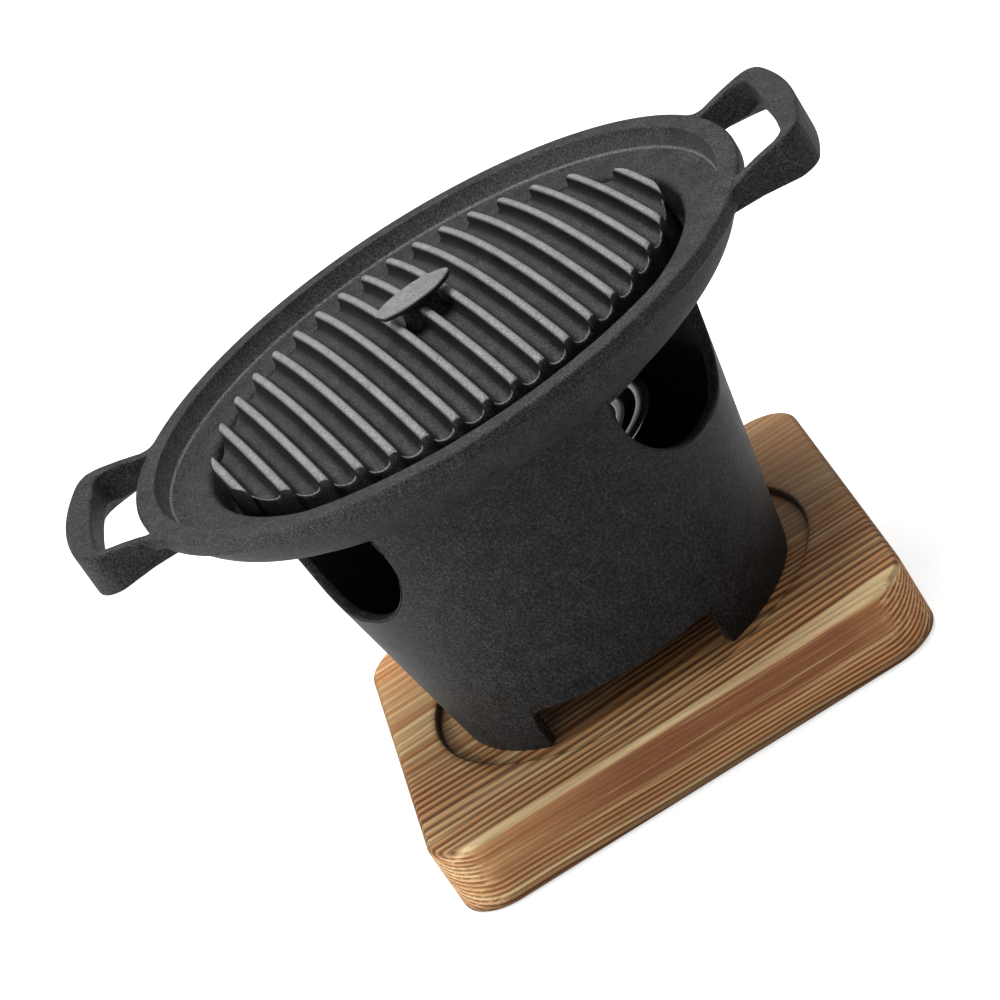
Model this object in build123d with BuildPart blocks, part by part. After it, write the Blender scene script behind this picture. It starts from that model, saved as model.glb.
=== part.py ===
from build123d import *
import math
import os

# One-person table-top barbecue grill: wood base, cast stove body, spirit burner, cast pan, ribbed grill insert.
# Millimetres, +Z up, origin under the middle of the pan at the underside of the wood base.
# Heights are stacked from the table up and radii from the stove outwards, so a changed size carries its fits along.

# The stove and its board stand a little to the left, within the play of the pan
stove_x = -2.0

# Wood base
board_length = 170.0
board_width = 165.5
board_height = 24.6
board_corner = 17.5
board_edge = 1.4
recess_depth = 3.0
recess_gap = 8.6

# Cast stove body, standing on the floor of the recess
foot_height = board_height - recess_depth
foot_radius = 60.4
recess_radius = foot_radius + recess_gap
body_height = 98.4
body_top = foot_height + body_height
body_top_radius = 77.9
body_wall = 3.6
body_turn = -94.6
vent_count = 3
vent_half_width = 36.0
vent_corner = 30.0
vent_depth = 35.2
vent_bottom = body_top - vent_depth
arch_rise = 15.4
arch_top = foot_height + arch_rise
arch_half_angle = 32.6
arch_corner = 4.0
ledge_rise = 21.4
ledge_height = foot_height + ledge_rise
ledge_width = 5.5
ledge_thickness = 3.0

# Burner tray, lying on the ledge
tray_clearance = 0.7
tray_thickness = 1.2
tray_lip = 4.0
tray_flare = 2.0
tray_hole_radius = 3.6
tray_hole_inset = 9.4
tray_hole_count = 12
socket_height = 3.0
socket_clearance = 0.4

# Burner cup, standing in the socket of the tray
cup_base_radius = 40.0
cup_flare = 3.4
cup_top_radius = cup_base_radius + cup_flare
cup_lip = 4.0
cup_rim_radius = cup_top_radius + cup_lip
cup_floor = ledge_height + tray_thickness
cup_height = 45.6
cup_top = cup_floor + cup_height
cup_wall = 0.8
rim_roll = 1.5

# Fuel cup and its wadding, standing on the floor of the burner cup
fuel_gap = 4.0
fuel_radius = cup_base_radius - fuel_gap
fuel_lip = 2.6
fuel_rim_radius = fuel_radius + fuel_lip
fuel_floor = cup_floor + cup_wall
fuel_drop = 1.2
fuel_top = cup_top - fuel_drop
fuel_wall = 0.7
wadding_gap = 0.4
wadding_drop = 7.6
wadding_top = fuel_top - wadding_drop
wadding_edge = 4.0

# Roasting pan, lying on the rim of the stove body
skirt_overhang = 10.5
skirt_radius = body_top_radius + skirt_overhang
skirt_rise = 3.2
skirt_height = body_top + skirt_rise
skirt_wall = 2.7
well_radius = skirt_radius - skirt_wall
well_draft = 1.4
well_foot_radius = well_radius - well_draft
moat_width = 13.9
moat_radius = well_radius + moat_width
moat_slope = 2.1
rim_inner_radius = moat_radius + moat_slope
rim_width = 7.3
rim_radius = rim_inner_radius + rim_width
pan_height = 25.6
rim_top = body_top + pan_height
rim_band = 5.1
rim_edge = 1.2
step_in = 3.4
moat_depth = 7.3
moat_height = rim_top - moat_depth
pan_floor = 4.0
well_floor = body_top + pan_floor
spigot_play = 0.533
spigot_depth = 6.0
spigot_width = 2.5
pan_turn = -2.9

# Loop handles, rising a little from the rim to the tip
handle_depth = 23.2
handle_reach = rim_radius + handle_depth
handle_half_width = 37.2
handle_arm = 4.3
handle_bar = 9.2
handle_bow = 3.4
handle_corner = 9.5
handle_inner_corner = 5.5
handle_tip_top = rim_top + 4.6
handle_root_top = rim_top - 0.2
handle_tip_bottom = rim_top - 9.2
handle_root_bottom = rim_top - 12.4
handle_edge = 0.9

# Grill insert, standing on the well floor
insert_turn = 10.1
insert_gap = 4.9
insert_radius = well_foot_radius - insert_gap
insert_wall = 3.2
valley_drop = 6.2
valley_edge = rim_top - valley_drop
valley_rise = 6.6
valley_crown = valley_edge + valley_rise
valley_round = 1.5
rib_count = 17
rib_width = 3.6
rib_gap = 2.3
rib_reach = well_foot_radius - rib_gap
outer_rib_inset = 2.24
rib_pitch = 2 * (rib_reach - outer_rib_inset) / (rib_count - 1)
rib_height = 5.5
rib_edge_height = valley_edge + rib_height
rib_rise = 6.1
rib_crown = rib_edge_height + rib_rise
rib_shoulder = 4.0
rib_round = 1.1
rib_foot_gap = 2.0
knob_half_length = 13.5
knob_half_width = 5.4
knob_thickness = 3.2
knob_rise = 5.3
knob_top = rib_crown + knob_rise
knob_neck_length = 13.0
knob_neck_width = 5.0

os.makedirs("parts", exist_ok=True)


def turned(angle, height=0.0, shift=0.0):
    """Horizontal sketch plane turned about the vertical axis."""
    return Plane(
        origin=(shift, 0, height),
        x_dir=(math.cos(math.radians(angle)), math.sin(math.radians(angle)), 0),
        z_dir=(0, 0, 1),
    )


def facing(angle, height, shift=0.0):
    """Upright sketch plane on the axis, looking outwards at an angle, local y up."""
    a = math.radians(angle)
    return Plane(
        origin=(shift, 0, height),
        x_dir=(-math.sin(a), math.cos(a), 0),
        z_dir=(math.cos(a), math.sin(a), 0),
    )


def side_plane(angle):
    """Upright sketch plane holding the axis, local x outwards at an angle, local y up."""
    a = math.radians(angle)
    return Plane(
        origin=(0, 0, 0),
        x_dir=(math.cos(a), math.sin(a), 0),
        z_dir=(math.sin(a), -math.cos(a), 0),
    )


def body_radius(z):
    """Outer radius of the stove body at a height."""
    return foot_radius + (body_top_radius - foot_radius) * (z - foot_height) / body_height


# Wood base: rounded board with a round recess
with BuildPart() as wood_base:
    with BuildSketch() as board_plan:
        with Locations((stove_x, 0)):
            RectangleRounded(board_length, board_width, board_corner)
    extrude(amount=board_height)
    fillet(wood_base.faces().sort_by(Axis.Z)[-1].edges(), board_edge)
    fillet(wood_base.faces().sort_by(Axis.Z)[0].edges(), board_edge)
    with BuildSketch(Plane.XY.offset(board_height)):
        with Locations((stove_x, 0)):
            Circle(recess_radius)
    extrude(amount=-recess_depth, mode=Mode.SUBTRACT)

wood_base.part.label = "wood_base"
export_step(wood_base.part, "parts/wood_base.step")


# Stove body: tapered open shell with an inside ledge, vents from the rim and arches between the feet
arch_middle = body_turn
vent_first = body_turn + 60.0

with BuildPart() as stove_body:
    with BuildSketch(Plane.XZ):
        with BuildLine():
            Polyline(
                (body_radius(foot_height) - body_wall, foot_height),
                (body_radius(foot_height), foot_height),
                (body_radius(body_top), body_top),
                (body_radius(body_top) - body_wall, body_top),
                (body_radius(ledge_height) - body_wall, ledge_height),
                (body_radius(ledge_height) - body_wall - ledge_width, ledge_height),
                (body_radius(ledge_height) - body_wall - ledge_width, ledge_height - ledge_thickness),
                (body_radius(ledge_height - ledge_thickness) - body_wall, ledge_height - ledge_thickness - 2.0),
                close=True,
            )
        make_face()
    revolve(axis=Axis.Z)
    for k in range(vent_count):
        with BuildSketch(facing(vent_first + 360.0 / vent_count * k, body_top + 5.0)):
            RectangleRounded(2 * vent_half_width, 2 * (body_top + 5.0 - vent_bottom), vent_corner)
        extrude(amount=2 * body_top_radius, mode=Mode.SUBTRACT)
    arch_half_width = foot_radius * math.sin(math.radians(arch_half_angle))
    for k in range(vent_count):
        with BuildSketch(facing(arch_middle + 360.0 / vent_count * k, foot_height)):
            RectangleRounded(2 * arch_half_width, 2 * (arch_top - foot_height), arch_corner)
        extrude(amount=2 * body_top_radius, mode=Mode.SUBTRACT)
    top_edges = stove_body.edges().filter_by_position(Axis.Z, body_top - 0.01, body_top + 0.01)
    chamfer(top_edges.filter_by(GeomType.CIRCLE), 0.5)

stove_body.part.locate(Location((stove_x, 0, 0)))
stove_body.part.label = "stove_body"
export_step(stove_body.part, "parts/stove_body.step")


# Burner tray: flanged steel plate with a raised socket ring and air holes
tray_radius = body_radius(ledge_height) - body_wall - tray_clearance
socket_radius = cup_base_radius + socket_clearance
tray_hole_circle = tray_radius - tray_hole_inset

with BuildPart() as burner_tray:
    with BuildSketch(Plane.XZ):
        with BuildLine():
            Polyline(
                (0, ledge_height),
                (tray_radius - tray_flare, ledge_height),
                (tray_radius, ledge_height + tray_lip),
                (tray_radius - tray_thickness, ledge_height + tray_lip),
                (tray_radius - tray_flare - tray_thickness, ledge_height + tray_thickness),
                (socket_radius + tray_thickness, ledge_height + tray_thickness),
                (socket_radius + tray_thickness, ledge_height + tray_thickness + socket_height),
                (socket_radius, ledge_height + tray_thickness + socket_height),
                (socket_radius, ledge_height + tray_thickness),
                (0, ledge_height + tray_thickness),
                close=True,
            )
        make_face()
    revolve(axis=Axis.Z)
    with BuildSketch(Plane.XY.offset(ledge_height)):
        with PolarLocations(tray_hole_circle, tray_hole_count):
            Circle(tray_hole_radius)
    extrude(amount=tray_thickness, mode=Mode.SUBTRACT)

burner_tray.part.locate(Location((stove_x, 0, 0)))
burner_tray.part.label = "burner_tray"
export_step(burner_tray.part, "parts/burner_tray.step")


# Burner cup: thin cup with a flared, rolled rim
with BuildPart() as burner_cup:
    with BuildSketch(Plane.XZ):
        with BuildLine():
            Polyline(
                (0, cup_floor),
                (cup_base_radius, cup_floor),
                (cup_top_radius, cup_top - rim_roll),
                (cup_rim_radius - rim_roll, cup_top - rim_roll),
                (cup_rim_radius - rim_roll, cup_top - rim_roll - cup_wall),
            )
            ThreePointArc(
                (cup_rim_radius - rim_roll, cup_top - rim_roll - cup_wall),
                (cup_rim_radius, cup_top - rim_roll / 2 - cup_wall / 2),
                (cup_rim_radius - rim_roll, cup_top),
            )
            Polyline(
                (cup_rim_radius - rim_roll, cup_top),
                (cup_top_radius - cup_wall, cup_top),
                (cup_base_radius - cup_wall, cup_floor + cup_wall),
                (0, cup_floor + cup_wall),
                (0, cup_floor),
            )
        make_face()
    revolve(axis=Axis.Z)

burner_cup.part.locate(Location((stove_x, 0, 0)))
burner_cup.part.label = "burner_cup"
export_step(burner_cup.part, "parts/burner_cup.step")


# Fuel cup: straight inner cup with a turned-out lip, standing on the burner cup floor
with BuildPart() as fuel_cup:
    with BuildSketch(Plane.XZ):
        with BuildLine():
            Polyline(
                (0, fuel_floor),
                (fuel_radius, fuel_floor),
                (fuel_radius, fuel_top - fuel_wall),
                (fuel_rim_radius, fuel_top - fuel_wall),
                (fuel_rim_radius, fuel_top),
                (fuel_radius - fuel_wall, fuel_top),
                (fuel_radius - fuel_wall, fuel_floor + fuel_wall),
                (0, fuel_floor + fuel_wall),
                close=True,
            )
        make_face()
    revolve(axis=Axis.Z)

fuel_cup.part.locate(Location((stove_x, 0, 0)))
fuel_cup.part.label = "fuel_cup"
export_step(fuel_cup.part, "parts/fuel_cup.step")


# Fuel wadding: soft plug with a rounded top edge
wadding_floor = fuel_floor + fuel_wall

with BuildPart() as fuel_wadding:
    with BuildSketch(Plane.XY.offset(wadding_floor)):
        Circle(fuel_radius - fuel_wall - wadding_gap)
    extrude(amount=wadding_top - wadding_floor)
    fillet(fuel_wadding.faces().sort_by(Axis.Z)[-1].edges(), wadding_edge)

fuel_wadding.part.locate(Location((stove_x, 0, 0)))
fuel_wadding.part.label = "fuel_wadding"
export_step(fuel_wadding.part, "parts/fuel_wadding.step")


# Loop handle: plan outline cut to a rising side profile, used on both sides of the pan
with BuildPart() as loop_handle:
    with BuildSketch(turned(pan_turn, handle_root_bottom - 2.0)) as handle_plan:
        with BuildLine():
            corner_x = handle_reach - handle_bow
            Polyline(
                (corner_x, -handle_half_width),
                (rim_radius, -handle_half_width),
            )
            ThreePointArc(
                (rim_radius, -handle_half_width),
                (rim_radius - 6.2, -handle_half_width - 1.4),
                (rim_radius - 11.0, -handle_half_width - 6.0),
            )
            Polyline(
                (rim_radius - 11.0, -handle_half_width - 6.0),
                (skirt_radius, -handle_half_width),
                (skirt_radius, handle_half_width),
                (rim_radius - 11.0, handle_half_width + 6.0),
            )
            ThreePointArc(
                (rim_radius - 11.0, handle_half_width + 6.0),
                (rim_radius - 6.2, handle_half_width + 1.4),
                (rim_radius, handle_half_width),
            )
            Polyline(
                (rim_radius, handle_half_width),
                (corner_x, handle_half_width),
            )
            ThreePointArc(
                (corner_x, handle_half_width),
                (handle_reach, 0),
                (corner_x, -handle_half_width),
            )
        make_face()
        tip_corners = handle_plan.vertices().sort_by(Axis.X)[-2:]
        fillet(tip_corners, handle_corner)
        opening_end = handle_reach - handle_bar
        opening_half = handle_half_width - handle_arm
        with Locations(((opening_end + skirt_radius) / 2, 0)):
            RectangleRounded(
                opening_end - skirt_radius,
                2 * opening_half,
                handle_inner_corner,
                mode=Mode.SUBTRACT,
            )
    extrude(amount=handle_tip_top - handle_root_bottom + 4.0)
    with BuildSketch(side_plane(pan_turn)) as handle_side:
        with BuildLine():
            Polyline(
                (skirt_radius - 1.0, handle_root_bottom),
                (handle_reach - 7.0, handle_tip_bottom),
                (handle_reach + 0.1, handle_tip_bottom + 3.0),
                (handle_reach + 0.1, handle_tip_top - 0.6),
                (handle_reach - 7.0, handle_tip_top),
                (rim_radius - 4.0, handle_root_top),
                (skirt_radius - 1.0, handle_root_top),
                close=True,
            )
        make_face()
    extrude(amount=2 * handle_half_width, both=True, mode=Mode.INTERSECT)
    with BuildSketch(Plane.XY.offset(handle_root_bottom - 1.0)):
        Circle(skirt_radius + 5.0)
    extrude(amount=moat_height - handle_root_bottom, mode=Mode.SUBTRACT)
    with BuildSketch(Plane.XY.offset(moat_height - 1.0)):
        Circle(rim_inner_radius + 1.5)
    extrude(amount=rim_top - moat_height + 2.0, mode=Mode.SUBTRACT)
    outer_edges = loop_handle.edges().filter_by(
        lambda e: e.center().X * math.cos(math.radians(pan_turn)) > rim_radius + 2.0
        and abs(e.tangent_at(0.5).Z) < 0.8
    )
    fillet(outer_edges, handle_edge)


# Roasting pan: one revolved section with rim band, sloping skirt, moat, well and locating spigot
spigot_radius = body_radius(body_top - spigot_depth) - body_wall - abs(stove_x) - spigot_play

with BuildPart() as roasting_pan:
    with BuildSketch(Plane.XZ):
        with BuildLine():
            Polyline(
                (0, body_top),
                (spigot_radius - spigot_width, body_top),
                (spigot_radius - spigot_width, body_top - spigot_depth),
                (spigot_radius - 0.8, body_top - spigot_depth),
                (spigot_radius, body_top - spigot_depth + 0.8),
                (spigot_radius, body_top),
                (body_top_radius + 0.6, body_top),
                (skirt_radius, skirt_height),
            )
            ThreePointArc(
                (skirt_radius, skirt_height),
                (
                    (skirt_radius + rim_radius - step_in) / 2 + 1.4,
                    (skirt_height + rim_top - rim_band) / 2 - 1.4,
                ),
                (rim_radius - step_in, rim_top - rim_band),
            )
            Polyline(
                (rim_radius - step_in, rim_top - rim_band),
                (rim_radius - 0.5, rim_top - rim_band),
                (rim_radius, rim_top - rim_band + 0.5),
                (rim_radius, rim_top - rim_edge),
            )
            ThreePointArc(
                (rim_radius, rim_top - rim_edge),
                (rim_radius - 0.35, rim_top - 0.35),
                (rim_radius - rim_edge, rim_top),
            )
            Polyline(
                (rim_radius - rim_edge, rim_top),
                (rim_inner_radius + 0.5, rim_top),
                (rim_inner_radius, rim_top - 0.5),
                (moat_radius, moat_height + 1.0),
                (moat_radius - 1.0, moat_height),
                (well_radius + 0.8, moat_height),
                (well_radius, moat_height - 0.8),
                (well_foot_radius, well_floor + 2.0),
                (well_foot_radius - 2.0, well_floor),
                (0, well_floor),
                (0, body_top),
            )
        make_face()
    revolve(axis=Axis.Z)
    add(loop_handle.part)
    add(loop_handle.part.rotate(Axis.Z, 180))

roasting_pan.part.label = "roasting_pan"
export_step(roasting_pan.part, "parts/roasting_pan.step")


# Grill ribs: straight parallel fins under one dome, each with rounded shoulders and a rounded back
def rib_plane(offset):
    """Upright plane along one rib, local x along the rib, local y up."""
    a = math.radians(insert_turn)
    return Plane(
        origin=(offset * math.cos(a), offset * math.sin(a), 0),
        x_dir=(-math.sin(a), math.cos(a), 0),
        z_dir=(math.cos(a), math.sin(a), 0),
    )


rib_foot = well_floor + rib_foot_gap

with BuildPart() as grill_ribs:
    for k in range(rib_count):
        offset = (k - (rib_count - 1) / 2) * rib_pitch
        end = math.sqrt(rib_reach**2 - offset**2)
        rise = (rib_crown - rib_edge_height) * (1 - (offset / rib_reach) ** 2)
        with BuildSketch(rib_plane(offset)) as rib_side:
            with BuildLine():
                Polyline((-end, rib_edge_height), (-end, rib_foot), (end, rib_foot), (end, rib_edge_height))
                ThreePointArc((end, rib_edge_height), (0, rib_edge_height + rise), (-end, rib_edge_height))
            make_face()
            fillet(rib_side.vertices().sort_by(Axis.Y)[-2:], rib_shoulder)
        extrude(amount=rib_width / 2, both=True)
    rib_backs = grill_ribs.faces().filter_by(GeomType.CYLINDER).edges().filter_by(GeomType.CIRCLE)
    fillet(rib_backs, rib_round)


# Grill insert: hollow dome on a skirt, with the ribs, a neck and a boat-shaped knob
dome_rise = valley_crown - valley_edge
dome_radius = (insert_radius**2 + dome_rise**2) / (2 * dome_rise)
inner_radius = insert_radius - insert_wall


def crown(radius):
    """Height of the round dome between the ribs at a distance from the axis."""
    return valley_crown - dome_radius + math.sqrt(dome_radius**2 - radius**2)


with BuildPart() as grill_insert:
    with BuildSketch(Plane.XZ) as dome_side:
        with BuildLine():
            Polyline((0, valley_crown), (0, well_floor), (insert_radius, well_floor), (insert_radius, valley_edge))
            ThreePointArc(
                (insert_radius, valley_edge),
                (insert_radius / 2, crown(insert_radius / 2)),
                (0, valley_crown),
            )
        make_face()
        fillet(dome_side.vertices().group_by(Axis.X)[-1].sort_by(Axis.Y)[-1], valley_round)
    revolve(axis=Axis.Z)
    add(grill_ribs.part)
    with BuildSketch(turned(insert_turn, valley_crown - insert_wall / 2)):
        SlotOverall(knob_neck_length, knob_neck_width)
    extrude(amount=knob_top - knob_thickness / 2 - valley_crown + insert_wall / 2)
    with BuildSketch(turned(insert_turn, knob_top - knob_thickness)) as knob_plan:
        with BuildLine():
            ThreePointArc((-knob_half_length, 1.8), (0, knob_half_width), (knob_half_length, 0))
            ThreePointArc((knob_half_length, 0), (0, -knob_half_width), (-knob_half_length + 0.6, -1.8))
            Line((-knob_half_length + 0.6, -1.8), (-knob_half_length, 1.8))
        make_face()
    extrude(amount=knob_thickness)
    chamfer(grill_insert.faces().sort_by(Axis.Z)[-1].edges(), 0.4)
    with BuildSketch(Plane.XZ):
        with BuildLine():
            Polyline(
                (0, valley_crown - insert_wall),
                (0, well_floor),
                (inner_radius, well_floor),
                (inner_radius, crown(inner_radius) - insert_wall),
            )
            ThreePointArc(
                (inner_radius, crown(inner_radius) - insert_wall),
                (inner_radius / 2, crown(inner_radius / 2) - insert_wall),
                (0, valley_crown - insert_wall),
            )
        make_face()
    revolve(axis=Axis.Z, mode=Mode.SUBTRACT)

grill_insert.part.label = "grill_insert"
export_step(grill_insert.part, "parts/grill_insert.step")
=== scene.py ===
# %% [markdown]
# # A one-person table-top barbecue grill
#
# The cast stove, its pan, the ribbed insert, the wood board and the spirit burner are remade here as fine meshes
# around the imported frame. Each piece is shaped in millimetres, turned to metres at the end, and rides on the body
# that carries it, so every lift-off pose works on the finished pieces.

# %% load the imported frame
import math

import bmesh
import bpy
from mathutils import Matrix, Vector, noise


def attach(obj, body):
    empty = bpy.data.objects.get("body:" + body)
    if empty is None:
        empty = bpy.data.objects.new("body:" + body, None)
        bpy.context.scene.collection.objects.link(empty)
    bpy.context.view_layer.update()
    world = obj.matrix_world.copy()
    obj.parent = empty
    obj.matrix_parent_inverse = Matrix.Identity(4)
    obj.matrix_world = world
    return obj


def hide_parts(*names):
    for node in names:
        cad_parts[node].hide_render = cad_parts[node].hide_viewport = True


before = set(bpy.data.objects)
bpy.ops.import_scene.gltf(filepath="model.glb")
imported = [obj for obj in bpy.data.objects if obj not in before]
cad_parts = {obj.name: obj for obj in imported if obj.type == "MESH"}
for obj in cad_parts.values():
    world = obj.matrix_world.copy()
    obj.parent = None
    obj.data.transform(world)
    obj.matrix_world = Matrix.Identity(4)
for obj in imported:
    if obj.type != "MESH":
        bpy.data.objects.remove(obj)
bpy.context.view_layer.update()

print("nodes:", sorted(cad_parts))

# %% [markdown]
# The sizes below are in millimetres. The pan and the insert share one upright axis at the origin. The stove, the
# burner and the recess of the board share another, a little to the left of it, within the play of the pan.

# %% sizes in millimetres
MM = 0.001

STOVE_X = -2.0

BOARD_LENGTH = 170.0
BOARD_WIDTH = 165.5
BOARD_HEIGHT = 24.6
BOARD_CORNER = 17.5
BOARD_EDGE = 1.8
RECESS_RADIUS = 69.0
RECESS_DEPTH = 3.0

FOOT_HEIGHT = BOARD_HEIGHT - RECESS_DEPTH
FOOT_RADIUS = 60.4
BODY_TOP = 120.0
BODY_TOP_RADIUS = 77.9
BODY_WALL = 3.6
ARCH_TURN = -94.6
VENT_FLAT = 6.0
VENT_CORNER = 30.0
VENT_BOTTOM = 84.8
ARCH_HALF = 32.4
ARCH_TOP = 37.0
ARCH_CORNER = 4.0
EDGE_ROUND = 0.8
LEDGE_HEIGHT = 43.0
LEDGE_THICKNESS = 3.0
LEDGE_WIDTH = 5.5

RIM_RADIUS = 109.0
RIM_INNER = 101.7
RIM_TOP = 145.6
RIM_BAND = 5.1
SKIRT_RADIUS = 88.4
SKIRT_HEIGHT = 123.2
MOAT_HEIGHT = 138.3
WELL_RADIUS = 85.7
WELL_FLOOR = 124.0
SPIGOT_RADIUS = 70.7
SPIGOT_WALL = 2.5
SPIGOT_DEPTH = 6.0
PAN_TURN = -2.9

HANDLE_REACH = 132.2
HANDLE_HALF = 37.2
HANDLE_ARM = 4.4
HANDLE_BAR = 9.2
HANDLE_CORNER = 10.0
HANDLE_INNER_CORNER = 5.5

INSERT_TURN = 10.1
RIB_COUNT = 17
RIB_PITCH = 9.97
RIB_HALF = 1.6
RIB_HEIGHT = 5.1
RIB_REACH = 82.1
VALLEY_REACH = 80.4
DOME_TOP = 146.0
DOME_EDGE = 139.4
DOME_REACH = 79.4
INSERT_WALL = 3.2

KNOB_HALF_LENGTH = 13.5
KNOB_HALF_WIDTH = 8.0
KNOB_THICKNESS = 2.0
KNOB_TOP = 156.3

print("height to the rim", RIM_TOP, "mm, to the knob", KNOB_TOP, "mm")

# %% [markdown]
# One helper turns a bmesh into a finished piece. The mesh is scaled to metres and smoothed, and edges sharper than
# a given angle stay crisp. The piece then rides on its body and takes the place of the CAD nodes it stands for.


# %% finishing a piece
def finish_piece(name, bm, material, body, nodes=(), sharp=40.0):
    """Makes a riding piece from a bmesh in millimetres."""
    bmesh.ops.scale(bm, vec=(MM, MM, MM), verts=bm.verts)
    mesh = bpy.data.meshes.new(name)
    bm.to_mesh(mesh)
    bm.free()
    mesh.materials.append(material)
    mesh.polygons.foreach_set("use_smooth", [True] * len(mesh.polygons))
    mesh.set_sharp_from_angle(angle=math.radians(sharp))
    piece = bpy.data.objects.new(name, mesh)
    bpy.context.scene.collection.objects.link(piece)
    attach(piece, body)
    if nodes:
        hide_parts(*nodes)
    print(name, "faces", len(mesh.polygons))
    return piece


# %% [markdown]
# Turned shapes start as a line of radii and heights with rounded corners, and are spun about the upright axis. A
# Screw modifier could do the same; a spin gives plain vertices at once, which can then be marked or moved.


# %% turned shapes
def rounded(corners, steps=6):
    """A line through corners (r, z, radius), with an arc of that radius at each corner."""
    line = []
    for k, (r, z, radius) in enumerate(corners):
        here = Vector((r, z))
        if radius <= 0 or k in (0, len(corners) - 1):
            line.append(here)
            continue
        back = (Vector(corners[k - 1][:2]) - here).normalized()
        ahead = (Vector(corners[k + 1][:2]) - here).normalized()
        half = back.angle(ahead) / 2
        reach = radius / math.tan(half)
        centre = here + (back + ahead).normalized() * radius / math.sin(half)
        first = here + back * reach - centre
        last = here + ahead * reach - centre
        turn = math.atan2(first.cross(last), first.dot(last))
        for s in range(steps + 1):
            line.append(centre + Matrix.Rotation(turn * s / steps, 2) @ first)
    return line


def spun(line, steps=192, x=0.0):
    """A closed turned shape from a line of (r, z) points that starts and ends on the axis or on itself."""
    bm = bmesh.new()
    verts = [bm.verts.new((p[0], 0, p[1])) for p in line]
    for a, b in zip(verts, verts[1:]):
        bm.edges.new((a, b))
    bmesh.ops.spin(
        bm,
        geom=bm.verts[:] + bm.edges[:],
        cent=(0, 0, 0),
        axis=(0, 0, 1),
        angle=math.tau,
        steps=steps,
        use_merge=True,
    )
    bmesh.ops.remove_doubles(bm, verts=bm.verts, dist=0.0005)
    bmesh.ops.recalc_face_normals(bm, faces=bm.faces)
    bmesh.ops.translate(bm, vec=(x, 0, 0), verts=bm.verts)
    return bm


# %% [markdown]
# Wrapped shapes start as a flat grid whose vertices are sent to their places one by one. Where the grid closes on
# itself its seam is merged. Booleans could cut such shapes from solids, but a grid keeps the faces even. The same
# pass can write attributes, which the materials read later.


# %% wrapped shapes
def placed_grid(columns, rows, place, merge=0.0005, marks=()):
    """A grid with vertex (i, j) sent to place(i, j), and an attribute for each (name, function) in marks."""
    bm = bmesh.new()
    bmesh.ops.create_grid(bm, x_segments=columns, y_segments=rows, size=1)
    layers = [(bm.verts.layers.float.new(name), mark) for name, mark in marks]
    for v in bm.verts:
        i = round((v.co.x + 1) / 2 * columns)
        j = round((v.co.y + 1) / 2 * rows)
        v.co = place(i, j)
        for layer, mark in layers:
            v[layer] = mark(i, j, v.co)
    if merge:
        bmesh.ops.remove_doubles(bm, verts=bm.verts, dist=merge)
    return bm


def close_ends(bm):
    """Fills the open ends of a tube and points all faces outwards."""
    bmesh.ops.holes_fill(bm, edges=[e for e in bm.edges if e.is_boundary], sides=0)
    bmesh.ops.recalc_face_normals(bm, faces=bm.faces)


def turned_by(bm, degrees):
    """Turns a bmesh about the upright axis."""
    bmesh.ops.rotate(bm, cent=(0, 0, 0), matrix=Matrix.Rotation(math.radians(degrees), 3, "Z"), verts=bm.verts)


def quarter(steps):
    """The angles from 0 to a right angle in equal steps."""
    return [math.pi / 2 * k / steps for k in range(steps + 1)]


# %% [markdown]
# Materials are node trees on Object coordinates. A small class keeps the node code short: `node` adds a node with
# its settings, and `feed` gives a socket either a plain value or a link.


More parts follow.
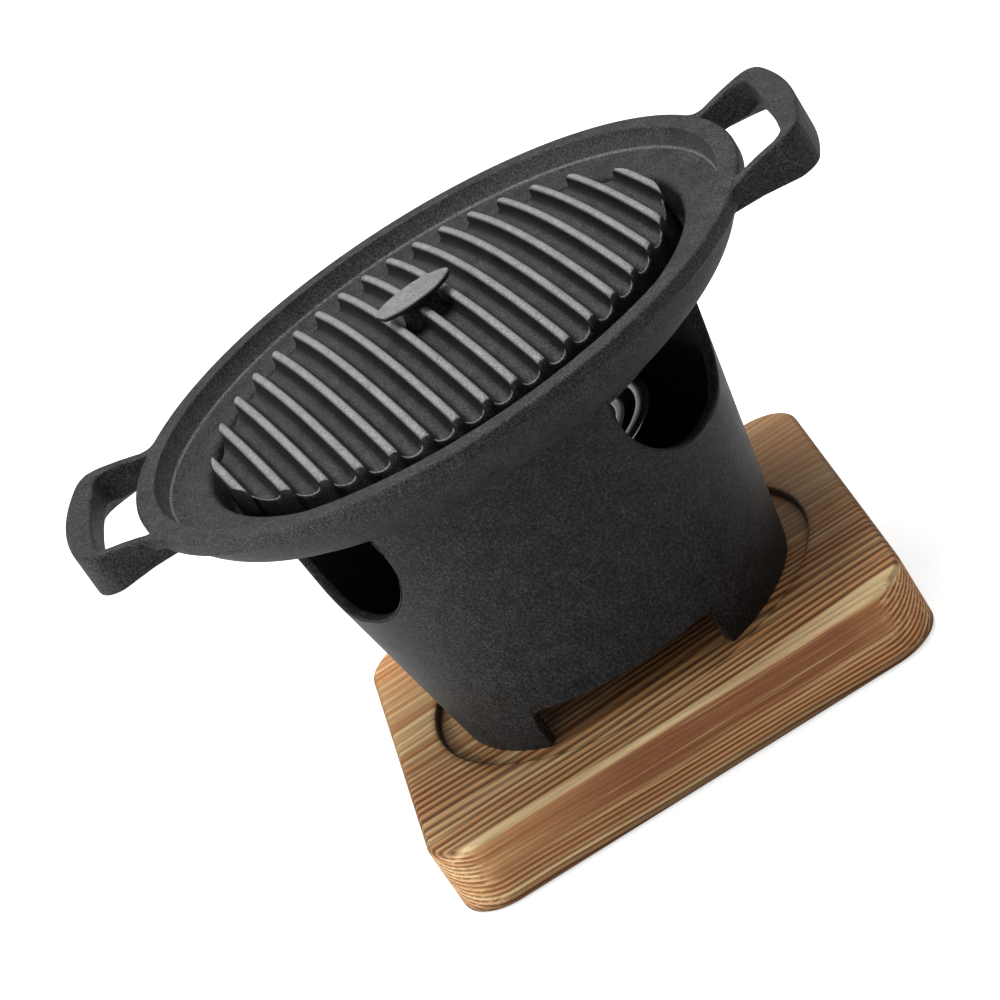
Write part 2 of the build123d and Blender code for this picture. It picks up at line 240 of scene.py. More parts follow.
# %% material helpers
class Finish:
    """A material with a Principled shader and short ways to add nodes."""

    def __init__(self, name):
        self.material = bpy.data.materials.new(name)
        self.material.use_nodes = True
        self.tree = self.material.node_tree
        self.shader = self.tree.nodes["Principled BSDF"]
        self.place = self.node("ShaderNodeTexCoord").outputs["Object"]

    def node(self, kind, inputs=(), **settings):
        """A new node with its inputs fed and its settings made."""
        made = self.tree.nodes.new(kind)
        for key, value in settings.items():
            setattr(made, key, value)
        for key, value in dict(inputs).items():
            self.feed(made.inputs[key], value)
        return made

    def feed(self, socket, value):
        """Links a socket, or sets its value."""
        if isinstance(value, bpy.types.NodeSocket):
            self.tree.links.new(value, socket)
        else:
            socket.default_value = value

    def stretched(self, scale):
        """Object coordinates scaled by axis."""
        return self.node("ShaderNodeMapping", {"Vector": self.place, "Scale": scale}).outputs[0]

    def noise(self, scale, detail=2.0, rough=0.5, distortion=0.0, vector=None):
        settings = {"Scale": scale, "Detail": detail, "Roughness": rough, "Distortion": distortion}
        made = self.node("ShaderNodeTexNoise", {"Vector": vector or self.place, **settings})
        return made.outputs["Fac"]

    def ramp(self, fac, stops):
        """A colour or grey ramp from (position, colour) stops."""
        made = self.node("ShaderNodeValToRGB", {"Fac": fac})
        band = made.color_ramp
        while len(band.elements) < len(stops):
            band.elements.new(0.5)
        for element, (position, colour) in zip(band.elements, stops):
            element.position = position
            if not hasattr(colour, "__len__"):
                colour = (colour, colour, colour)
            element.color = (*colour, 1)
        return made.outputs["Color"]

    def span(self, value, low, high, to_low=0.0, to_high=1.0):
        """A value mapped from one range to another, clamped."""
        made = self.node(
            "ShaderNodeMapRange",
            {"Value": value, "From Min": low, "From Max": high, "To Min": to_low, "To Max": to_high},
        )
        return made.outputs["Result"]

    def plus(self, a, b, how="ADD"):
        return self.node("ShaderNodeMath", {0: a, 1: b}, operation=how).outputs[0]

    def times(self, a, b):
        return self.plus(a, b, "MULTIPLY")

    def less(self, a, b):
        return self.plus(a, b, "SUBTRACT")

    def mix(self, fac, a, b, how="MIX"):
        """Colour a going over to colour b."""
        made = self.node("ShaderNodeMix", data_type="RGBA", blend_type=how)
        self.feed(made.inputs["Factor"], fac)
        self.feed(made.inputs["A"], a)
        self.feed(made.inputs["B"], b)
        return made.outputs["Result"]

    def bump(self, height, strength, distance):
        made = self.node("ShaderNodeBump", {"Height": height, "Strength": strength, "Distance": distance})
        self.feed(self.shader.inputs["Normal"], made.outputs["Normal"])

    def attribute(self, name):
        return self.node("ShaderNodeAttribute", attribute_name=name).outputs["Fac"]

    def set(self, **inputs):
        """Feeds inputs of the shader and hands back the finished material."""
        for key, value in inputs.items():
            self.feed(self.shader.inputs[key.replace("_", " ")], value)
        return self.material


# %% [markdown]
# The cast pieces wear a black non-stick coat. It is finely granular: dark hollows between slightly lighter grains
# under a millimetre wide, with soft patches where the coat is a little thicker. Two attributes change its tone:
# `rib_top` paints shade into the flanks and walls of the insert and a lighter tone on its ridges, partly wear and
# partly painted sheen, and `edge_glint_and_wear` paints thin highlight lines and glints on edges, partly rubbed
# coat.


# %% the cast coat
def cast_coat(name, dark, light, rough_low, rough_high, grain=1500.0, raised=None):
    """A granular coat between two tones; raised gives the two tones of the ridges, partly wear and partly painted
    sheen, and turns on the painted shade of the insert's hollows and walls.
    """
    f = Finish(name)
    grains = f.noise(grain, detail=3.0, rough=0.75)
    patches = f.noise(140.0, detail=3.0)
    specks = f.noise(grain * 0.55, detail=1.0)
    glint_flecks = f.noise(grain * 1.6, detail=1.0)
    tone = f.plus(f.span(grains, 0.34, 0.66), f.span(patches, 0.3, 0.7, -0.12, 0.12))
    between_tones = [a * 0.6 + b * 0.4 for a, b in zip(dark, light)]
    colour = f.ramp(tone, [(0.0, dark), (0.6, between_tones), (1.0, light)])
    if raised:
        top = f.attribute("rib_top")
        # The ramp darkens the rib flanks and the walls, skirt and underside of the insert: painted shade.
        hollow = f.ramp(top, [(0.0, 1.0), (0.06, 0.85), (0.16, 0.26), (0.75, 0.20)])
        colour = f.mix(1.0, colour, hollow, "MULTIPLY")
        # Ridge tops get a lighter tone, partly wear and partly painted sheen.
        worn_and_sheen = f.ramp(tone, [(0.0, raised[0]), (1.0, raised[1])])
        colour = f.mix(f.span(top, 0.80, 0.96), colour, worn_and_sheen)
    # Marked edges get a light grey: painted highlight lines and glints, partly rubbed coat.
    rubbed_and_glint = f.times(f.attribute("edge_glint_and_wear"), f.span(grains, 0.40, 0.60, 0.35, 1.0))
    colour = f.mix(rubbed_and_glint, colour, (0.34, 0.34, 0.345, 1))
    # Sparse light flecks: painted glints.
    colour = f.mix(f.span(glint_flecks, 0.70, 0.76, 0.0, 0.5), colour, (0.20, 0.20, 0.205, 1))
    height = f.plus(grains, f.times(specks, 0.5))
    f.bump(height, 0.8, 0.0003)
    f.shader.inputs["Specular IOR Level"].default_value = 0.16
    return f.set(Base_Color=colour, Roughness=f.span(patches, 0.3, 0.7, rough_low, rough_high))


PAN_COAT = cast_coat("pan_coat", (0.002, 0.002, 0.002), (0.072, 0.072, 0.073), 0.50, 0.62)
BODY_COAT = cast_coat("body_coat", (0.001, 0.001, 0.001), (0.050, 0.051, 0.052), 0.40, 0.50, grain=1250.0)
INSERT_COAT = cast_coat(
    "insert_coat",
    (0.002, 0.002, 0.002),
    (0.085, 0.085, 0.086),
    0.44,
    0.56,
    # Lighter ridge tones: partly wear, partly painted sheen.
    raised=((0.090, 0.090, 0.091), (0.290, 0.290, 0.292)),
)
print("cast coats made")

# %% [markdown]
# The board is charred and brushed softwood, cut nearly flat across its growth rings. A growth ring is a slow count
# up through the board, tilted towards the front and made wavy by noise: its fraction says how far a point is from
# pale early wood to the dark late line, and its whole part gives each ring a tone of its own. So the same rings are
# about four millimetres apart on the top and two on the front face. The top front edge is pale, partly pale wood
# and partly a painted highlight on its rounding, the upper front face a smooth red-brown band, and the back right
# is darker and greyer, mostly painted shade of the stove. Only the edges are burnt.


# %% charred softwood
def charred_wood():
    """Growth rings, char, streaks and fibres of the board."""
    f = Finish("charred_wood")
    split = f.node("ShaderNodeSeparateXYZ", {"Vector": f.place}).outputs
    x, y, z = split["X"], split["Y"], split["Z"]
    drift = f.noise(1.0, detail=2.0, vector=f.stretched((3.5, 15.0, 15.0)))
    ripple = f.noise(1.0, detail=2.0, vector=f.stretched((16.0, 80.0, 80.0)))
    depth = f.plus(f.times(z, 540.0), f.times(y, -235.0))
    waves = f.plus(f.times(drift, 9.0), f.times(ripple, 0.8))
    rings = f.plus(depth, waves)
    early_to_late = f.node("ShaderNodeMath", {0: rings}, operation="FRACT").outputs[0]
    ring_number = f.node("ShaderNodeMath", {0: rings}, operation="FLOOR").outputs[0]
    ring_tone = f.node("ShaderNodeTexWhiteNoise", {"W": ring_number}, noise_dimensions="1D").outputs["Value"]
    streaks = f.noise(1.0, detail=3.0, rough=0.7, vector=f.stretched((10.0, 520.0, 620.0)))
    fibres = f.noise(1.0, detail=2.0, rough=0.7, vector=f.stretched((45.0, 2100.0, 2100.0)))
    clouds = f.noise(1.0, detail=2.0, vector=f.stretched((9.0, 30.0, 30.0)))

    late = f.ramp(early_to_late, [(0.0, 0.7), (0.06, 0.1), (0.30, 0.0), (0.52, 0.60), (0.80, 1.0), (1.0, 0.7)])
    right = f.span(x, 0.020, 0.072, 0.0, 0.008)
    # The pale front top edge: partly pale wood, partly a painted highlight on the rounding.
    pale_edge_and_highlight = f.times(f.span(f.less(y, right), -0.0788, -0.0806, 0.0, 1.0), f.span(z, 0.0218, 0.0238))
    face = f.span(y, -0.0815, -0.0826)
    band = f.times(f.times(f.span(z, 0.0095, 0.0135), f.span(z, 0.0240, 0.0228)), face)
    red = f.times(band, f.times(f.span(x, -0.070, -0.020), f.span(x, 0.076, 0.055)))
    quiet = f.less(f.less(1.0, f.times(pale_edge_and_highlight, 0.8)), f.times(band, 0.75))

    early = f.mix(ring_tone, (0.666, 0.301, 0.113, 1), (0.950, 0.691, 0.346, 1))
    early = f.mix(f.span(clouds, 0.40, 0.65), early, (0.768, 0.371, 0.147, 1))
    early = f.mix(f.times(pale_edge_and_highlight, 0.75), early, (0.950, 0.768, 0.422, 1))
    early = f.mix(f.times(band, 0.75), early, (0.512, 0.237, 0.090, 1))
    early = f.mix(f.times(red, 0.80), early, (0.262, 0.090, 0.041, 1))
    strength = f.times(f.span(clouds, 0.30, 0.50, 0.80, 1.0), f.span(y, 0.010, -0.035, 0.45, 1.0))
    charred = f.times(late, f.times(quiet, strength))
    colour = f.mix(charred, early, (0.128, 0.041, 0.015, 1))
    colour = f.mix(f.span(streaks, 0.50, 0.72, 0.0, 0.5), colour, (0.230, 0.082, 0.031, 1))
    colour = f.mix(f.span(streaks, 0.46, 0.30, 0.0, 0.5), colour, (0.950, 0.717, 0.384, 1))
    colour = f.mix(f.span(fibres, 0.56, 0.74, 0.0, 0.5), colour, (0.192, 0.084, 0.038, 1))
    # Darker towards the back right: mostly painted shade of the stove, partly greyer wood.
    back_right_grey_and_shade = f.times(f.span(x, 0.0, 0.060), f.span(y, -0.040, 0.010))
    colour = f.mix(f.times(back_right_grey_and_shade, 0.6), colour, (0.218, 0.128, 0.070, 1))
    colour = f.mix(f.attribute("burnt"), colour, (0.038, 0.017, 0.010, 1))

    relief = f.plus(f.times(late, -0.8), f.times(streaks, 0.8))
    f.bump(relief, 0.55, 0.0006)
    f.shader.inputs["Specular IOR Level"].default_value = 0.15
    return f.set(Base_Color=colour, Roughness=f.span(streaks, 0.3, 0.7, 0.60, 0.46))


WOOD = charred_wood()


# %% [markdown]
# The burner is polished sheet steel with turning marks round it. The tray is plainer steel, tinted by heat, and
# the wadding is pale mineral fibre.


# %% burner finishes
def turned_steel(name, colour_low, colour_high, rough_low, rough_high):
    """Bare steel with fine turning marks round it and faint smudges."""
    f = Finish(name)
    rings = f.noise(1.0, detail=3.0, rough=0.65, vector=f.stretched((60.0, 60.0, 2600.0)))
    smudges = f.noise(90.0, detail=3.0)
    f.bump(rings, 0.12, 0.00008)
    f.shader.inputs["Metallic"].default_value = 1.0
    colour = f.ramp(smudges, [(0.3, colour_low), (0.7, colour_high)])
    return f.set(Base_Color=colour, Roughness=f.span(rings, 0.3, 0.7, rough_low, rough_high))


def mineral_fibre():
    """Matted pale fibre."""
    f = Finish("mineral_fibre")
    strands = f.noise(900.0, detail=4.0, rough=0.7, distortion=1.5)
    colour = f.ramp(strands, [(0.3, (0.42, 0.39, 0.33)), (0.7, (0.80, 0.77, 0.70))])
    f.bump(strands, 0.8, 0.0008)
    return f.set(Base_Color=colour, Roughness=f.span(strands, 0.3, 0.7, 0.95, 0.85))


POLISHED = turned_steel("polished_steel", (0.66, 0.66, 0.67), (0.80, 0.80, 0.81), 0.14, 0.24)
TRAY_STEEL = turned_steel("tray_steel", (0.16, 0.15, 0.145), (0.27, 0.26, 0.25), 0.34, 0.50)
FIBRE = mineral_fibre()
print("materials:", [m.name for m in bpy.data.materials])

# %% [markdown]
# ## The wood board
#
# One ring of vertices is led from the middle of the recess floor, up the recess wall, out over the top to the
# rounded square outline, down the side and back under the board. Each row of the grid is one such ring. This way
# the recess needs no cutting, and its burnt edge can be marked row by row.


# %% wood board
def board_outline(angle, inset):
    """The point of the rounded square, drawn in by inset, in a direction from the recess centre."""
    a = BOARD_LENGTH / 2 - inset
    b = BOARD_WIDTH / 2 - inset
    corner = max(BOARD_CORNER - inset, 1.0)
    c, s = math.cos(angle), math.sin(angle)
    reach = min(a / max(abs(c), 1e-9), b / max(abs(s), 1e-9))
    x, y = abs(reach * c), abs(reach * s)
    if x > a - corner and y > b - corner:
        mx, my = a - corner, b - corner
        along = mx * abs(c) + my * abs(s)
        reach = along + math.sqrt(max(along**2 - mx**2 - my**2 + corner**2, 0.0))
    return reach * c, reach * s


RECESS_LIP = RECESS_RADIUS + 0.9
FLAT_INSET = BOARD_EDGE + 1.6


def board_rings():
    """Rows of the board: (kind, its radius, blend or inset, height, how burnt)."""
    floor = BOARD_HEIGHT - RECESS_DEPTH
    top = BOARD_HEIGHT
    rows = [("round", r, floor, 0.0) for r in (0.001, 14, 28, 42, 54, 62, 66.5)]
    rows += [("round", RECESS_RADIUS - 1.0, floor, 0.25)]
    rows += [("round", RECESS_RADIUS - 0.3, floor + 0.25, 0.9)]
    rows += [("round", RECESS_RADIUS, floor + 0.8, 1.0)]
    rows += [("round", RECESS_RADIUS, top - 0.8, 0.9)]
    rows += [("round", RECESS_RADIUS + 0.25, top - 0.25, 0.9)]
    rows += [("round", RECESS_LIP, top, 0.12)]
    rows += [("blend", t, top, 0.0) for t in (0.12, 0.3, 0.5, 0.7, 0.86)]
    rows += [("outline", FLAT_INSET, top, 0.0)]
    for a in quarter(6):
        inset = BOARD_EDGE * (1 - math.sin(a))
        rows.append(("outline", inset, top - BOARD_EDGE * (1 - math.cos(a)), 0.5 * math.sin(2 * a)))
    rows += [("outline", 0.0, h, 0.0) for h in (19.5, 15.5, 11.5, 7.5, 4.0)]
    for a in quarter(6):
        inset = BOARD_EDGE * (1 - math.cos(a))
        rows.append(("outline", inset, BOARD_EDGE * (1 - math.sin(a)), 0.55))
    rows += [("outline", i, 0.0, 0.0) for i in (6.0, 20.0, 45.0, 65.0)]
    rows += [("round", 0.001, 0.0, 0.0)]
    return rows


FRONT_EDGE_CHAR = 0.15


def make_board():
    """The board as one grid of rings; the front top edge, pale wood with a painted highlight, is hardly burnt."""
    rows = board_rings()
    columns = 288

    def place(i, j):
        angle = math.tau * i / columns
        kind, value, height, _ = rows[j]
        if kind == "round":
            x, y = value * math.cos(angle), value * math.sin(angle)
        elif kind == "outline":
            x, y = board_outline(angle, value)
        else:
            x, y = board_outline(angle, FLAT_INSET)
            x = (1 - value) * RECESS_LIP * math.cos(angle) + value * x
            y = (1 - value) * RECESS_LIP * math.sin(angle) + value * y
        return STOVE_X + x, y, height

    def burnt(i, j, co):
        kind, _, _, amount = rows[j]
        top_edge = kind == "outline" and co.z > BOARD_HEIGHT - BOARD_EDGE
        return amount * FRONT_EDGE_CHAR if top_edge and co.y < 4 - BOARD_WIDTH / 2 else amount

    bm = placed_grid(columns, len(rows) - 1, place, merge=0.002, marks=[("burnt", burnt)])
    bmesh.ops.recalc_face_normals(bm, faces=bm.faces)
    finish_piece("board", bm, WOOD, "base", ["wood_base"], sharp=50)


make_board()

# %% [markdown]
# ## The stove body
#
# The wall is one grid wrapped round a cone. Its top line dips into three U-shaped vents and its bottom line rises
# into three arches. Cutting these openings with booleans would leave ragged faces where the edges are rounded, so
# the wall is led along them. A vent stands over each foot, so a sixth of each line is enough: from the middle of a
# foot to the middle of the next arch.


# %% top and bottom lines of the wall
def body_radius(z):
    """The outside radius of the cone at a height."""
    return FOOT_RADIUS + (BODY_TOP_RADIUS - FOOT_RADIUS) * (z - FOOT_HEIGHT) / (BODY_TOP - FOOT_HEIGHT)


def walked(points, count):
    """Points at even steps along a line."""
    lengths = [0.0]
    for a, b in zip(points, points[1:]):
        lengths.append(lengths[-1] + (Vector(b) - Vector(a)).length)
    result = []
    k = 0
    for s in range(count + 1):
        want = lengths[-1] * s / count
        while k < len(points) - 2 and lengths[k + 1] < want:
            k += 1
        t = (want - lengths[k]) / max(lengths[k + 1] - lengths[k], 1e-9)
        result.append(Vector(points[k]).lerp(Vector(points[k + 1]), min(max(t, 0.0), 1.0)))
    return result


def unrolled(u, z, centre):
    """A point at a distance u from a vent's or arch's middle plane, as (degrees, height)."""
    return centre + math.degrees(math.asin(u / body_radius(z))), z


SIXTH = 60.0


def vent_line():
    """From the lowest point of a vent to the middle of the next arch, along the top edge, in degrees."""
    line = [(0.0, VENT_BOTTOM)]
    half = VENT_FLAT + VENT_CORNER
    for a in quarter(24):
        u = VENT_FLAT + VENT_CORNER * math.sin(a)
        z = VENT_BOTTOM + VENT_CORNER * (1 - math.cos(a))
        line.append(unrolled(u, z, 0.0))
    lip = 1.5
    for a in quarter(6)[1:]:
        line.append(unrolled(half + lip * (1 - math.cos(a)), BODY_TOP - lip + lip * math.sin(a), 0.0))
    line.append((SIXTH, BODY_TOP))
    return line


def arch_line():
    """From the middle of a foot to the middle of the next arch, along the bottom edge, in degrees."""
    line = [(0.0, FOOT_HEIGHT)]
    low = 1.2
    for a in quarter(6):
        line.append(unrolled(-ARCH_HALF - low * (1 - math.sin(a)), FOOT_HEIGHT + low * (1 - math.cos(a)), SIXTH))
    for a in quarter(8):
        u = -ARCH_HALF + ARCH_CORNER * (1 - math.cos(a))
        z = ARCH_TOP - ARCH_CORNER + ARCH_CORNER * math.sin(a)
        line.append(unrolled(u, z, SIXTH))
    line.append((SIXTH, ARCH_TOP))
    return line


def even_steps(line, radius, count):
    """A line of (degrees, height) points walked at even steps, measured on a cylinder of the given radius."""
    flat = walked([(math.radians(a) * radius, z) for a, z in line], count)
    return [(math.degrees(p[0] / radius), p[1]) for p in flat]


print("points on a sixth of the wall's top line:", len(vent_line()), "bottom line:", len(arch_line()))

# %% [markdown]
# Both lines are cut into the same number of steps. The rows of the wall fan from the bottom line to a plain ring at
# middle height and from there to the top line, closer together near the lines. A Solidify gives the wall its
# thickness and a Bevel rounds the cast edges.


# %% stove wall
def make_body():
    """The wall with its three vents and three arches."""
    half_steps = 64
    low_rows, high_rows = 14, 20
    middle = 62.0
    fan = 1.25
    top = even_steps(vent_line(), 72.0, half_steps)
    bottom = even_steps(arch_line(), 61.5, half_steps)
    columns = 6 * half_steps

    def place(i, j):
        sector, k = divmod(i, half_steps)
        mirrored = sector % 2 == 1
        k = half_steps - k if mirrored else k
        if j <= low_rows:
            t = (j / low_rows) ** fan
            a = bottom[k][0] * (1 - t) + SIXTH * k / half_steps * t
            z = bottom[k][1] * (1 - t) + middle * t
        else:
            t = 1 - (1 - (j - low_rows) / high_rows) ** fan
            a = SIXTH * k / half_steps * (1 - t) + top[k][0] * t
            z = middle * (1 - t) + top[k][1] * t
        a = -a if mirrored else a
        angle = math.radians(ARCH_TURN + SIXTH + 2 * SIXTH * ((sector + 1) // 2) + a)
        r = body_radius(z)
        return STOVE_X + r * math.cos(angle), r * math.sin(angle), z

    bm = placed_grid(columns, low_rows + high_rows, place)
    bmesh.ops.recalc_face_normals(bm, faces=bm.faces)
    outward = 0.0
    for f in bm.faces:
        centre = f.calc_center_median()
        outward += f.normal.dot(Vector((centre.x - STOVE_X, centre.y, 0)))
    if outward < 0:
        bmesh.ops.reverse_faces(bm, faces=bm.faces)
    body = finish_piece("body_wall", bm, BODY_COAT, "stove", ["stove_body"])
    wall = body.modifiers.new("wall", "SOLIDIFY")
    wall.thickness = BODY_WALL * MM
    wall.offset = -1.0
    edge = body.modifiers.new("cast_edges", "BEVEL")
    edge.width = EDGE_ROUND * MM
    edge.segments = 3
    edge.limit_method = "ANGLE"
    edge.angle_limit = math.radians(50)
    edge.use_clamp_overlap = False


make_body()

# %% [markdown]
# A ledge runs round the inside of the stove and carries the tray. Its outer side is sunk into the wall, and its
# underside slopes as on a casting.

# %% ledge inside the stove
LEDGE_SUNK = 0.6
LEDGE_SLOPE = 2.0
ledge_outer = body_radius(LEDGE_HEIGHT) - BODY_WALL + LEDGE_SUNK
ledge_inner = ledge_outer - LEDGE_SUNK - LEDGE_WIDTH
ledge_under = LEDGE_HEIGHT - LEDGE_THICKNESS
ledge_line = [
    Vector((ledge_outer, LEDGE_HEIGHT)),
    Vector((ledge_inner, LEDGE_HEIGHT)),
    Vector((ledge_inner, ledge_under)),
    Vector((ledge_outer - LEDGE_SUNK, ledge_under - LEDGE_SLOPE)),
    Vector((ledge_outer, ledge_under - LEDGE_SLOPE)),
    Vector((ledge_outer, LEDGE_HEIGHT)),
]
finish_piece("body_ledge", spun(ledge_line, 96, STOVE_X), BODY_COAT, "stove", ())

# %% [markdown]
# ## The burner
#
# The tray lies on the ledge. It is a turned shape with a low ring that holds the burner, and it gets its air holes
# from a ring of round cutters.


# %% tray
TRAY_FLOOR = LEDGE_HEIGHT + 1.2
SOCKET_RADIUS = 40.4
SOCKET_HEIGHT = 3.0
TRAY_PLAY = 0.7
tray_edge = body_radius(LEDGE_HEIGHT) - BODY_WALL - TRAY_PLAY
tray_top = LEDGE_HEIGHT + 4.0
tray_line = rounded(
    [
        (0, LEDGE_HEIGHT + 0.02, 0),
        (tray_edge - 2.0, LEDGE_HEIGHT + 0.02, 0.8),
        (tray_edge, tray_top, 0),
        (tray_edge - 1.2, tray_top, 0),
        (tray_edge - 3.2, TRAY_FLOOR, 0.8),
        (SOCKET_RADIUS + 1.4, TRAY_FLOOR, 0.5),
        (SOCKET_RADIUS + 1.2, TRAY_FLOOR + SOCKET_HEIGHT, 0.3),
        (SOCKET_RADIUS, TRAY_FLOOR + SOCKET_HEIGHT, 0.3),
        (SOCKET_RADIUS, TRAY_FLOOR, 0),
        (0, TRAY_FLOOR, 0),
    ],
    3,
)
tray_shape = spun(tray_line, 96, STOVE_X)
tray = finish_piece("tray", tray_shape, TRAY_STEEL, "stove", ["burner_tray"], sharp=35)


def drill(piece, places, radius, low, high):
    """Cuts round upright holes through a finished piece."""
    bm = bmesh.new()
    for x, y in places:
        bmesh.ops.create_cone(
            bm,
            cap_ends=True,
            segments=32,
            radius1=radius * MM,
            radius2=radius * MM,
            depth=(high - low) * MM,
            matrix=Matrix.Translation((x * MM, y * MM, (low + high) / 2 * MM)),
        )
    mesh = bpy.data.meshes.new("drills")
    bm.to_mesh(mesh)
    bm.free()
    drills = bpy.data.objects.new("drills", mesh)
    bpy.context.scene.collection.objects.link(drills)
    cut = piece.modifiers.new("holes", "BOOLEAN")
    cut.operation = "DIFFERENCE"
    cut.object = drills
    graph = bpy.context.evaluated_depsgraph_get()
    drilled = bpy.data.meshes.new_from_object(piece.evaluated_get(graph))
    piece.modifiers.clear()
    piece.data = drilled
    bpy.data.objects.remove(drills)
    print(piece.name, "faces after drilling", len(drilled.polygons))


HOLE_COUNT = 12
HOLE_RADIUS = 3.6
HOLE_INSET = 9.4
hole_circle = tray_edge - HOLE_INSET
hole_turns = [math.tau * k / HOLE_COUNT for k in range(HOLE_COUNT)]
hole_places = [(STOVE_X + hole_circle * math.cos(a), hole_circle * math.sin(a)) for a in hole_turns]
drill(tray, hole_places, HOLE_RADIUS, LEDGE_HEIGHT - 2.0, TRAY_FLOOR + 2.0)

# %% [markdown]
# A flared cup with a rolled rim stands in the ring of the tray. The fuel cup, with its lip turned out, stands in it
# with a gap all round. Each line runs out along the underside and back along the inside.

# %% burner cups
CUP_FLOOR = TRAY_FLOOR + 0.02
CUP_SHEET = 0.8
cup_line = rounded(
    [
        (0, CUP_FLOOR, 0),
        (40.0, CUP_FLOOR, 1.5),
        (43.4, 88.0, 1.0),
        (46.6, 88.6, 0.6),
        (47.4, 87.4, 0.5),
        (48.0, 88.6, 0.6),
        (46.4, 89.8, 1.0),
        (43.0, 89.6, 1.2),
        (39.3, CUP_FLOOR + CUP_SHEET, 1.0),
        (0, CUP_FLOOR + CUP_SHEET, 0),
    ],
    5,
)
finish_piece("cup", spun(cup_line, 144, STOVE_X), POLISHED, "burner", ["burner_cup"])

FUEL_RADIUS = 36.0
FUEL_FLOOR = CUP_FLOOR + 0.82
fuel_line = rounded(
    [
        (0, FUEL_FLOOR, 0),
        (FUEL_RADIUS, FUEL_FLOOR, 1.2),
        (FUEL_RADIUS, 87.6, 0.8),
        (38.6, 87.9, 0.3),
        (38.6, 88.6, 0.3),
        (35.3, 88.6, 1.0),
        (35.3, CUP_FLOOR + 1.5, 0.8),
        (0, CUP_FLOOR + 1.5, 0),
    ],
    4,
)
finish_piece("fuel_well", spun(fuel_line, 128, STOVE_X), POLISHED, "burner", ["fuel_cup"])

# %% [markdown]
# The wadding fills the fuel cup to some way under its lip. Its upper part is made uneven by noise.


# %% wadding
def make_wadding():
    """A plug of fibre with a lumpy top."""
    radius, low = 34.9, CUP_FLOOR + 1.6
    line = rounded([(0, low, 0), (radius, low, 2.0), (radius, 80.6, 4.0), (0, 81.0, 0)], 5)
    rings = [line[0]] + walked(line[1:-1], 40) + walked([line[-2], line[-1]], 14)[1:]
    bm = spun(rings, 96, STOVE_X)
    for v in bm.verts:
        lump = noise.noise(v.co * 0.16) * 0.7 + noise.noise(v.co * 0.6) * 0.25
        if v.co.z > 70:
            v.co.z += lump - 0.4
    finish_piece("wadding", bm, FIBRE, "burner", ["fuel_wadding"], sharp=80)


make_wadding()

# %% [markdown]
# ## The pan
#
# The pan is a turned shape with all its cast roundings. Its line runs out along the spigot, the skirt and the rim,
# and back over the moat into the well. A thin lighter line at the foot of the moat's wall is a painted highlight,
# partly rubbed coat.

# %% pan bowl
pan_line = rounded(
    [
        (0, BODY_TOP, 0),
        (SPIGOT_RADIUS - SPIGOT_WALL, BODY_TOP, 0.6),
        (SPIGOT_RADIUS - SPIGOT_WALL, BODY_TOP - SPIGOT_DEPTH, 0.6),
        (SPIGOT_RADIUS, BODY_TOP - SPIGOT_DEPTH, 0.8),
        (SPIGOT_RADIUS, BODY_TOP + 0.03, 0.5),
        (BODY_TOP_RADIUS + 0.6, BODY_TOP + 0.03, 3.0),
        (SKIRT_RADIUS, SKIRT_HEIGHT, 0.7),
        (99.6, 129.6, 26.0),
        (RIM_RADIUS - 3.3, RIM_TOP - RIM_BAND, 0.5),
        (RIM_RADIUS, RIM_TOP - RIM_BAND, 0.8),
        (RIM_RADIUS, RIM_TOP, 1.3),
        (RIM_INNER, RIM_TOP, 0.7),
        (99.6, MOAT_HEIGHT, 1.8),
        (WELL_RADIUS, MOAT_HEIGHT - 0.3, 2.6),
        (WELL_RADIUS - 1.6, WELL_FLOOR, 3.0),
        (0, WELL_FLOOR, 0),
    ],
    8,
)


def mark_edge_glint_and_wear(bm, radius, height, reach):
    """Marks the vertices within reach of a turned edge, for the coat's painted highlight line, partly rubbed coat.
    """
    glint_and_wear_layer = bm.verts.layers.float.new("edge_glint_and_wear")
    edge = Vector((radius, height))
    for v in bm.verts:
        here = Vector((math.hypot(v.co.x, v.co.y), v.co.z))
        v[glint_and_wear_layer] = max(0.0, 1.0 - (here - edge).length / reach)


bowl = spun(pan_line, 256)
# A painted highlight line at the foot of the moat's wall.
mark_edge_glint_and_wear(bowl, radius=100.1, height=MOAT_HEIGHT + 0.5, reach=0.9)
finish_piece("pan", bowl, PAN_COAT, "pan", ["roasting_pan"], sharp=60)

# %% [markdown]
# Each loop handle is a bar led round a U. Half of its outer and of its inner plan line is drawn first: along the
# arm, round the corner, and slightly bulged to the middle of the bar. The stations of the arm are close together
# where it leaves the rim.


# %% plan lines of a handle
def between(x, table):
    """A height read from a short table of (distance, height) pairs."""
    for (x0, z0), (x1, z1) in zip(table, table[1:]):
        if x <= x1:
            t = min(max((x - x0) / (x1 - x0), 0.0), 1.0)
            return z0 + (z1 - z0) * t
    return table[-1][1]


HANDLE_TOPS = [(103.0, 145.2), (106.0, 145.75), (110.0, 147.0), (116.0, 148.2), (125.0, 149.9), (133.0, 150.2)]
OUTER_BOTTOMS = [(88.0, 136.4), (108.0, 136.2), (121.0, 135.0), (133.0, 134.7)]
INNER_BOTTOMS = [(88.0, 136.6), (117.5, 136.6), (121.5, 138.6), (124.0, 141.6), (133.0, 142.0)]
HANDLE_FILLET = 8.0
ROOT_STATIONS = (91.0, 95.5, 99.0, 100.6, 101.6, 102.8, 104.2, 106.0, 107.9)


